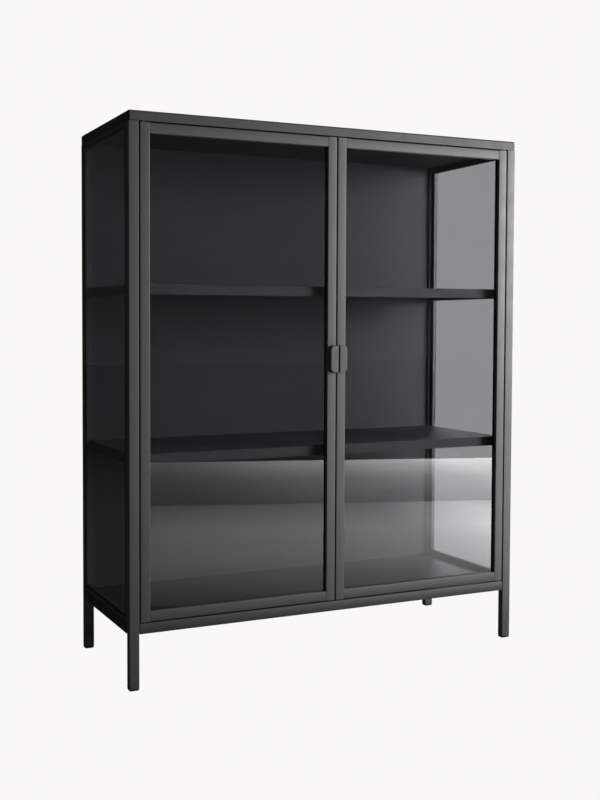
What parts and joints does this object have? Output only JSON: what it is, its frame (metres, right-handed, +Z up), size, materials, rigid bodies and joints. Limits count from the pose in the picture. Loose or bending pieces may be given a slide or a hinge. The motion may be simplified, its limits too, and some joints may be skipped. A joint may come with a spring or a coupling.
{
  "type": "display cabinet",
  "caption": "Black steel display cabinet on legs, with framed glass hinged doors, glass sides, steel shelves and a steel back.",
  "frame": {"origin": "centre of the four posts' footprint, on the floor", "axes": "+X to the right of a person facing the doors, +Y to the back, +Z up"},
  "size_m": [0.9, 0.311, 1.1],
  "materials": {
    "frame_paint": "black satin powder coat with a fine grain",
    "panel_paint": "black matt powder coat on folded sheet",
    "cabinet_glass": "clear tempered float glass, faintly grey-green",
    "seal_rubber": "black extruded rubber and black bonding tape",
    "black_plastic": "black moulded nylon",
    "zinc_steel": "bright zinc-plated steel"
  },
  "bodies": {
    "cabinet": {"top_panel": "frame_paint", "top_liner": "panel_paint", "bottom_panel": "frame_paint", "back_panel": "panel_paint", "post_front_left": "frame_paint", "post_front_right": "frame_paint", "post_back_left": "frame_paint", "post_back_right": "frame_paint", "foot_front_left": "black_plastic", "foot_front_right": "black_plastic", "foot_back_left": "black_plastic", "foot_back_right": "black_plastic", "side_frame_left": "frame_paint", "side_frame_right": "frame_paint", "side_glass_left": "cabinet_glass", "side_glass_right": "cabinet_glass", "side_tape_left": "seal_rubber", "side_tape_right": "seal_rubber", "shelf_lower": "panel_paint", "shelf_upper": "panel_paint", "shelf_clips_lower": "frame_paint", "shelf_clips_upper": "frame_paint", "hinge_pins": "zinc_steel", "magnet_catches": "black_plastic", "top_panel_screws": "zinc_steel", "bottom_panel_screws": "zinc_steel", "back_panel_screws": "zinc_steel"},
    "door_left": {"door_left_hinge_stile": "frame_paint", "door_left_meeting_stile": "frame_paint", "door_left_top_rail": "frame_paint", "door_left_bottom_rail": "frame_paint", "door_left_glass": "cabinet_glass", "door_left_gasket": "seal_rubber", "door_left_handle": "frame_paint", "door_left_handle_screws": "zinc_steel", "door_left_bushes": "black_plastic", "door_left_end_plugs": "black_plastic", "door_left_strike_plate": "zinc_steel"},
    "door_right": {"door_right_hinge_stile": "frame_paint", "door_right_meeting_stile": "frame_paint", "door_right_top_rail": "frame_paint", "door_right_bottom_rail": "frame_paint", "door_right_glass": "cabinet_glass", "door_right_gasket": "seal_rubber", "door_right_handle": "frame_paint", "door_right_handle_screws": "zinc_steel", "door_right_bushes": "black_plastic", "door_right_end_plugs": "black_plastic", "door_right_strike_plate": "zinc_steel"}
  },
  "joints": [
    {"name": "door_left_hinge", "type": "hinge", "parent": "cabinet", "child": "door_left", "pos_m": [-0.421, -0.144, 0.605], "axis": [0, 0, -1], "range_deg": [0, 100]},
    {"name": "door_right_hinge", "type": "hinge", "parent": "cabinet", "child": "door_right", "pos_m": [0.421, -0.144, 0.605], "axis": [0, 0, 1], "range_deg": [0, 100]}
  ]
}
